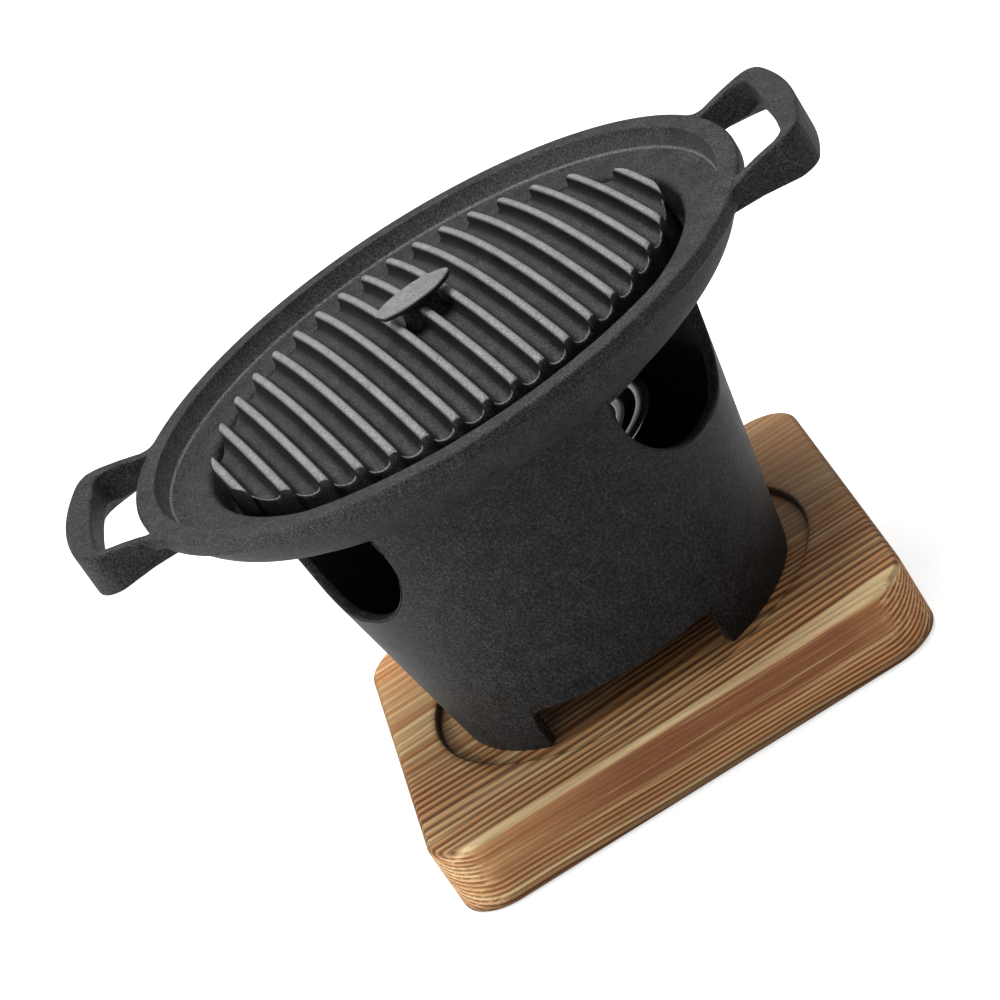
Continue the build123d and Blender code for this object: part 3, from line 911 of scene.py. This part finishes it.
def half_line(y, reach, bulge, corner, turn):
    """Half a plan line of an arm's side at y, that ends on the middle of the bar at reach."""
    start = reach - bulge - corner
    line = [(x, y) for x in ROOT_STATIONS] + [(start, y)]
    for k in range(1, 9):
        a = math.radians(turn) * k / 8
        line.append((start + corner * math.sin(a), y - corner * (1 - math.cos(a))))
    x0, y0 = line[-1]
    for k in range(1, 9):
        y = y0 * (1 - k / 8)
        line.append((reach - (reach - x0) * (y / y0) ** 2, y))
    return line


def refined(line, parts=2):
    """The same line with each step cut in equal parts."""
    result = []
    for a, b in zip(line, line[1:]):
        for s in range(parts):
            result.append(Vector(a).lerp(Vector(b), s / parts))
    result.append(Vector(line[-1]))
    return result


outer_line = half_line(HANDLE_HALF, HANDLE_REACH, bulge=3.4, corner=HANDLE_CORNER, turn=78)
inner_reach = HANDLE_REACH - HANDLE_BAR
inner_line = half_line(HANDLE_HALF - HANDLE_ARM, inner_reach, bulge=1.1, corner=HANDLE_INNER_CORNER, turn=84)
outer_line, inner_line = refined(outer_line), refined(inner_line)
print("stations of half a handle:", len(outer_line))

# %% [markdown]
# A rounded box section sits between the two lines at every station. It is taller outside than inside, its top
# rises away from the rim, and near the rim it spreads into a fillet. A curve with a bevel object can't change its
# section like this, so the sections are set one by one. The first of them lie inside the pan's wall.


# %% loop handles
def root_flare(x):
    """How far the fillet between the rim and the arm stands out from the arm's side."""
    across = HANDLE_HALF + HANDLE_FILLET
    middle = math.sqrt((RIM_RADIUS + HANDLE_FILLET) ** 2 - across**2)
    touch = middle * RIM_RADIUS / (RIM_RADIUS + HANDLE_FILLET)
    if x >= middle:
        return 0.0
    return across - math.sqrt(HANDLE_FILLET**2 - (middle - max(x, touch)) ** 2) - HANDLE_HALF


def arc(w, z, radius, first, steps=5):
    """A quarter circle of (across, height) points."""
    turns = [math.radians(first + 90 * k / steps) for k in range(steps + 1)]
    return [(w + radius * math.cos(a), z + radius * math.sin(a)) for a in turns]


def handle_section(outer, inner):
    """The closed section between an outer and an inner plan point."""
    across = (inner - outer) / (inner - outer).length
    width = (inner - outer).length
    high_out, high_in = between(outer.x, HANDLE_TOPS), between(inner.x, HANDLE_TOPS)
    flare = root_flare(outer.x)
    if math.hypot(inner.x, inner.y) < RIM_INNER + 1.2:
        # Inside the pan's wall the bar stays below the moat.
        high_out = high_in = MOAT_HEIGHT - 1.0
        flare = 0.0
    low_out, low_in = between(outer.x, OUTER_BOTTOMS), between(inner.x, INNER_BOTTOMS)
    shoulder = min(RIM_TOP - RIM_BAND + 0.4, high_out - 1.0)
    top, low = min(1.1, width * 0.2), min(1.4, width * 0.3)
    line = arc(width - low, low_in + low, low, -90)
    line += arc(width - top, high_in - top, top, 0)
    line += arc(top - flare, high_out - top, top, 90)
    line += [(-flare, shoulder), (0.0, shoulder)]
    line += arc(low, low_out + low, low, 180)
    points = [Vector((*(outer + across * w), z)) for w, z in line]
    return points + points[:1]


def make_handle(name, turn):
    """A whole handle: the half lines are mirrored, and a section is set at every station."""
    outer = outer_line + [Vector((p.x, -p.y)) for p in reversed(outer_line[:-1])]
    inner = inner_line + [Vector((p.x, -p.y)) for p in reversed(inner_line[:-1])]
    sections = [handle_section(a, b) for a, b in zip(outer, inner)]
    bm = placed_grid(len(sections) - 1, len(sections[0]) - 1, lambda i, j: sections[i][j])
    close_ends(bm)
    turned_by(bm, turn)
    finish_piece(name, bm, PAN_COAT, "pan", (), sharp=50)


make_handle("handle_right", PAN_TURN)
make_handle("handle_left", PAN_TURN + 180)

# %% [markdown]
# ## The ribbed insert
#
# The insert is one casting. Ribs joined to a dome by booleans would meet it at hard lines, so the top is one grid
# whose columns run along the ribs. Across a rib they follow its section: a round back, a short flank and a wide
# hollow fillet down to the valley. The outer sides of the two outermost ribs end at the insert's wall.


# %% rib section and columns
def rib_section():
    """Offsets from a rib's middle to the valley's middle with the height over the valley at each."""
    hollow = RIB_PITCH / 2 - RIB_HALF
    section = []
    for a in (0, 20, 38, 54, 68, 80, 90):
        a = math.radians(a)
        section.append((RIB_HALF * math.sin(a), RIB_HEIGHT - RIB_HALF * (1 - math.cos(a))))
    for a in (4, 16, 30, 44, 58, 74, 90):
        a = math.radians(a)
        section.append((RIB_HALF + hollow * (1 - math.cos(a)), hollow * (1 - math.sin(a))))
    return section


def rib_columns():
    """(place across the ribs, height over the valley) of every column."""
    half = rib_section()
    columns = []
    for k in range(RIB_COUNT):
        middle = (k - (RIB_COUNT - 1) / 2) * RIB_PITCH
        left = [(middle - u, h) for u, h in reversed(half[1:])]
        right = [(middle + u, h) for u, h in half]
        if k == 0:
            left = [c for c in left if c[0] >= middle - RIB_HALF - 0.001]
        if k == RIB_COUNT - 1:
            right = [c for c in right if c[0] <= middle + RIB_HALF + 0.001]
        columns += left + right
    kept = [columns[0]]
    for c in columns[1:]:
        if c[0] - kept[-1][0] > 0.01:
            kept.append(c)
    return kept


print("columns across the insert:", len(rib_columns()))

# %% [markdown]
# Each column is as long as the round outline allows there, with a rounded shoulder at both ends, and its height is
# the dome plus the section. The skirt and the hollow underside are led on from the grid's edge in loops. The
# attribute `rib_top` says how high on a rib a vertex lies; the shoulders, skirt and underside get a fixed value
# that the coat turns into painted shade. `edge_glint_and_wear` marks painted highlight lines on the lips in front
# and a glint at each rib's end, partly rubbed coat.


# %% insert
DOME_RISE = DOME_TOP - DOME_EDGE
DOME_RADIUS = (DOME_REACH**2 + DOME_RISE**2) / (2 * DOME_RISE)


def dome(r):
    """The height of the valleys at a distance from the middle."""
    return DOME_TOP - DOME_RADIUS + math.sqrt(DOME_RADIUS**2 - r**2)


# The rib_top value of the insert's shoulders, skirt and underside, which the coat darkens: painted shade.
WALL_PAINTED_SHADE = 0.4


def make_insert():
    """The ribbed top, the skirt and the underside in one closed mesh."""
    columns = rib_columns()
    bend_rows, run_rows = 7, 34
    rows = 2 * bend_rows + run_rows
    last = columns[-1][0]

    def place(i, j):
        x, h = columns[i]
        ridge = min(max(h / RIB_HEIGHT, 0.0), 1.0)
        outside = abs(x) > last - RIB_HALF
        reach = RIB_REACH if outside else VALLEY_REACH + (RIB_REACH - VALLEY_REACH) * ridge
        length = math.sqrt(max(reach**2 - x**2, 1.0))
        bend = min(1.4 + 2.4 * ridge, length * 0.5)
        run = length - bend
        if j < bend_rows or j > rows - bend_rows:
            step = j if j < bend_rows else rows - j
            a = math.pi / 2 * (1 - step / bend_rows)
            y = run + bend * math.sin(a)
            drop = bend * (1 - math.cos(a))
            y = -y if j < bend_rows else y
        else:
            y = -run + 2 * run * (j - bend_rows) / run_rows
            drop = 0.0
        z = dome(min(math.hypot(x, y), reach)) + h - drop
        return x, y, z

    def tone(i, j, co):
        # Shoulders get the wall value, which the coat turns into painted shade.
        on_shoulder = min(j, rows - j) < 4
        return WALL_PAINTED_SHADE if on_shoulder else min(max(columns[i][1] / RIB_HEIGHT, 0.0), 1.0)

    def rubbed_and_glint(i, j, co):
        # Painted highlight lines on the lips in front and a painted glint at each rib's end, partly rubbed coat.
        ridge = columns[i][1] / RIB_HEIGHT
        return 1.0 if j == 4 and ridge < 0.45 or j == 5 and ridge > 0.985 else 0.0

    bm = placed_grid(len(columns) - 1, rows, place, merge=None, marks=[("rib_top", tone), ("edge_glint_and_wear", rubbed_and_glint)])
    rib_top = bm.verts.layers.float["rib_top"]
    inner_wall = DOME_REACH - INSERT_WALL
    wall = [e for e in bm.edges if e.is_boundary]
    for radius, height in (
        (None, 132.0),
        (None, WELL_FLOOR + 0.3),
        (inner_wall, WELL_FLOOR + 0.05),
        (inner_wall, dome(DOME_REACH) - INSERT_WALL - 1.0),
        (inner_wall - 2.0, dome(DOME_REACH - 5) - INSERT_WALL),
        (40.0, dome(40.0) - INSERT_WALL),
        (0.01, dome(0.0) - INSERT_WALL),
    ):
        made = bmesh.ops.extrude_edge_only(bm, edges=wall)["geom"]
        wall = [g for g in made if isinstance(g, bmesh.types.BMEdge)]
        for v in [g for g in made if isinstance(g, bmesh.types.BMVert)]:
            v[rib_top] = WALL_PAINTED_SHADE
            v.co.z = height
            if radius is not None:
                factor = radius / math.hypot(v.co.x, v.co.y)
                v.co.x *= factor
                v.co.y *= factor
    bmesh.ops.remove_doubles(bm, verts=bm.verts, dist=0.002)
    bmesh.ops.recalc_face_normals(bm, faces=bm.faces)
    turned_by(bm, INSERT_TURN)
    finish_piece("insert", bm, INSERT_COAT, "grill", ["grill_insert"], sharp=45)


make_insert()

# %% [markdown]
# The lifting knob is a thin plate on a narrow neck. Its half widths come from one formula, the outline is raised to
# a plate, and the rims of the plate are rounded.

# %% lifting knob
KNOB_BLUNT = 2.4
KNOB_POINT = 0.7
KNOB_WEAR_AND_SHEEN = 0.94


def make_knob():
    """A thin lens-shaped plate, blunt at its left end and drawn to a narrow end on the right."""
    steps = 20
    along = [-1 + 2 * k / steps for k in range(steps + 1)]
    ends = [KNOB_BLUNT * (1 - t) / 2 * abs(t) + KNOB_POINT * (1 + t) / 2 for t in along]
    widths = [KNOB_HALF_WIDTH * (1 - t * t) ** 0.85 + end for t, end in zip(along, ends)]
    back = [(KNOB_HALF_LENGTH * t, w) for t, w in zip(along, widths)]
    front = [(KNOB_HALF_LENGTH * t + (0.8 if t == -1 else 0.0), -w) for t, w in zip(along, widths)]
    bm = bmesh.new()
    verts = [bm.verts.new((x, y, KNOB_TOP - KNOB_THICKNESS)) for x, y in back + front[::-1]]
    face = bm.faces.new(verts)
    top = bmesh.ops.extrude_face_region(bm, geom=[face])["geom"]
    bmesh.ops.translate(bm, vec=(0, 0, KNOB_THICKNESS), verts=[g for g in top if isinstance(g, bmesh.types.BMVert)])
    bmesh.ops.recalc_face_normals(bm, faces=bm.faces)
    rim = [e for e in bm.edges if abs(e.verts[0].co.z - e.verts[1].co.z) < 0.01]
    bmesh.ops.bevel(
        bm,
        geom=rim,
        offset=0.5,
        offset_type="OFFSET",
        affect="EDGES",
        segments=3,
        profile=0.5,
        material=-1,
        clamp_overlap=True,
    )
    rib_top = bm.verts.layers.float.new("rib_top")
    # The top gets the lighter ridge tone, partly wear and partly painted sheen; the sides get painted shade.
    for v in bm.verts:
        v[rib_top] = KNOB_WEAR_AND_SHEEN if v.co.z > KNOB_TOP - 0.6 else WALL_PAINTED_SHADE
    turned_by(bm, INSERT_TURN)
    finish_piece("knob", bm, INSERT_COAT, "grill", (), sharp=50)


def make_neck():
    """The web that carries the knob: an oval ring led up from the dome, narrowest under the knob."""
    steps = 48
    levels = [(9.6, 4.4, 144.6), (7.8, 3.2, 147.0), (6.8, 2.5, 149.6), (6.6, 2.4, 152.2), (7.4, 3.4, 154.6)]

    def place(i, j):
        a = math.tau * i / steps
        length, width, height = levels[j]
        return length * math.cos(a), width * math.sin(a), height

    bm = placed_grid(steps, len(levels) - 1, place)
    close_ends(bm)
    turned_by(bm, INSERT_TURN)
    # The neck wears the darker body coat: painted shade under the knob.
    finish_piece("knob_neck", bm, BODY_COAT, "grill", ())


make_knob()
make_neck()

# %% [markdown]
# ## Studio
#
# The camera stands where the photograph was taken. The picture is rolled by about 33 degrees, and the shifts of the
# lens bring the object to its place in the frame.


# %% camera
def aim_camera():
    """The camera, from its turn, height, roll, target and distance."""
    azimuth = math.radians(3.295)
    elevation = math.radians(21.790)
    roll = math.radians(33.481)
    target = Vector((-14.052, 0.0, 84.871)) * MM
    distance = 1095.157 * MM
    forward = Vector(
        (
            -math.sin(azimuth) * math.cos(elevation),
            math.cos(azimuth) * math.cos(elevation),
            -math.sin(elevation),
        )
    )
    right = Vector((math.cos(azimuth), math.sin(azimuth), 0))
    up = right.cross(forward)
    image_right = right * math.cos(roll) - up * math.sin(roll)
    image_up = right * math.sin(roll) + up * math.cos(roll)
    data = bpy.data.cameras.new("camera")
    camera = bpy.data.objects.new("camera", data)
    bpy.context.scene.collection.objects.link(camera)
    turn = Matrix((image_right, image_up, -forward)).transposed()
    camera.matrix_world = Matrix.Translation(target - forward * distance) @ turn.to_4x4()
    data.sensor_width = 36.0
    data.lens = 124.36
    data.shift_x = 0.00827
    data.shift_y = -0.00456
    data.clip_start = 0.01
    data.clip_end = 50.0
    bpy.context.scene.camera = camera


aim_camera()

# %% [markdown]
# The floor is matt. For camera rays it also glows a little, so that it comes out white and still keeps the shadow.


# %% floor
FLOOR_TONE = 0.66
FLOOR_GLOW = 0.68


def make_floor():
    """A matt plane just under the board."""
    bm = bmesh.new()
    bmesh.ops.create_grid(bm, x_segments=1, y_segments=1, size=6.0)
    mesh = bpy.data.meshes.new("floor")
    bm.to_mesh(mesh)
    bm.free()
    floor = bpy.data.objects.new("floor", mesh)
    floor.location.z = -0.0005
    bpy.context.scene.collection.objects.link(floor)
    material = bpy.data.materials.new("floor")
    material.use_nodes = True
    tree = material.node_tree
    shader = tree.nodes["Principled BSDF"]
    shader.inputs["Base Color"].default_value = (FLOOR_TONE, FLOOR_TONE, FLOOR_TONE, 1)
    shader.inputs["Roughness"].default_value = 1.0
    shader.inputs["Specular IOR Level"].default_value = 0.0
    path = tree.nodes.new("ShaderNodeLightPath")
    lift = tree.nodes.new("ShaderNodeMath")
    lift.operation = "MULTIPLY"
    lift.inputs[1].default_value = FLOOR_GLOW
    shader.inputs["Emission Color"].default_value = (1, 1, 1, 1)
    tree.links.new(path.outputs["Is Camera Ray"], lift.inputs[0])
    tree.links.new(lift.outputs[0], shader.inputs["Emission Strength"])
    mesh.materials.append(material)
    print("floor tone", FLOOR_TONE, "glow for the camera", FLOOR_GLOW)


make_floor()

# %% [markdown]
# A softbox above and a little behind gives the main light, a weak one fills in from the front, and one low on the
# left draws the left flank. The world is a pale grey light that the camera sees as white.


# %% lamps and world
def add_softbox(name, place, aim, width, height, power):
    """A rectangular lamp at a place, turned to its aim."""
    data = bpy.data.lights.new(name, "AREA")
    data.shape = "RECTANGLE"
    data.size = width
    data.size_y = height
    data.energy = power
    lamp = bpy.data.objects.new(name, data)
    lamp.location = place
    lamp.rotation_euler = (Vector(aim) - Vector(place)).to_track_quat("-Z", "Y").to_euler()
    bpy.context.scene.collection.objects.link(lamp)


def light_world(strength):
    """Even light from all round, white to the camera."""
    world = bpy.data.worlds.new("studio")
    bpy.context.scene.world = world
    world.use_nodes = True
    tree = world.node_tree
    background = tree.nodes["Background"]
    path = tree.nodes.new("ShaderNodeLightPath")
    white = tree.nodes.new("ShaderNodeBackground")
    mix = tree.nodes.new("ShaderNodeMixShader")
    background.inputs["Color"].default_value = (1, 1, 1, 1)
    background.inputs["Strength"].default_value = strength
    white.inputs["Strength"].default_value = 1.0
    white.inputs["Color"].default_value = (1, 1, 1, 1)
    tree.links.new(path.outputs["Is Camera Ray"], mix.inputs["Fac"])
    tree.links.new(background.outputs[0], mix.inputs[1])
    tree.links.new(white.outputs[0], mix.inputs[2])
    tree.links.new(mix.outputs[0], tree.nodes["World Output"].inputs["Surface"])


light_world(strength=0.38)
add_softbox("softbox_top", (0.02, 0.20, 1.3), (0, 0, 0.12), 0.9, 0.7, 20.0)
add_softbox("softbox_front", (-0.45, -1.3, 0.9), (0, 0, 0.09), 0.8, 0.8, 1.6)
add_softbox("softbox_left", (-1.2, -0.2, 0.38), (0, 0, 0.1), 0.35, 0.9, 14.0)
bpy.context.scene.view_settings.view_transform = "Standard"
print("lamps:", [lamp.name for lamp in bpy.data.lights])
